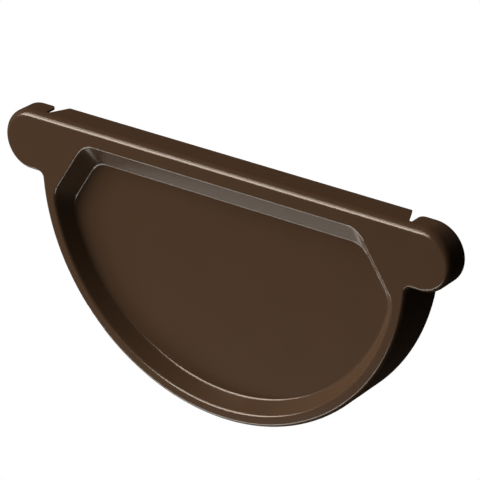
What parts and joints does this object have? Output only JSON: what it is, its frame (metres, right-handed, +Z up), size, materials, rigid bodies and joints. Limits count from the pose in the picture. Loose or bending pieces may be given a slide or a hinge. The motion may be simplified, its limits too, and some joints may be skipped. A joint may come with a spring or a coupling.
{
  "type": "gutter end cap",
  "caption": "Pressed sheet-steel end cap for a half-round gutter, with a drawn recess, a flange all round and round ears for the gutter's beads.",
  "frame": {"origin": "on the gutter's axis, in the plane of the flange's open edge", "axes": "+X across the gutter, +Y into the gutter, away from the closed front face, +Z up"},
  "size_m": [0.1534, 0.0166, 0.0787],
  "materials": {
    "coated_steel": "satin dark brown coating"
  },
  "bodies": {
    "root": {"end_cap": "coated_steel"}
  },
  "joints": []
}
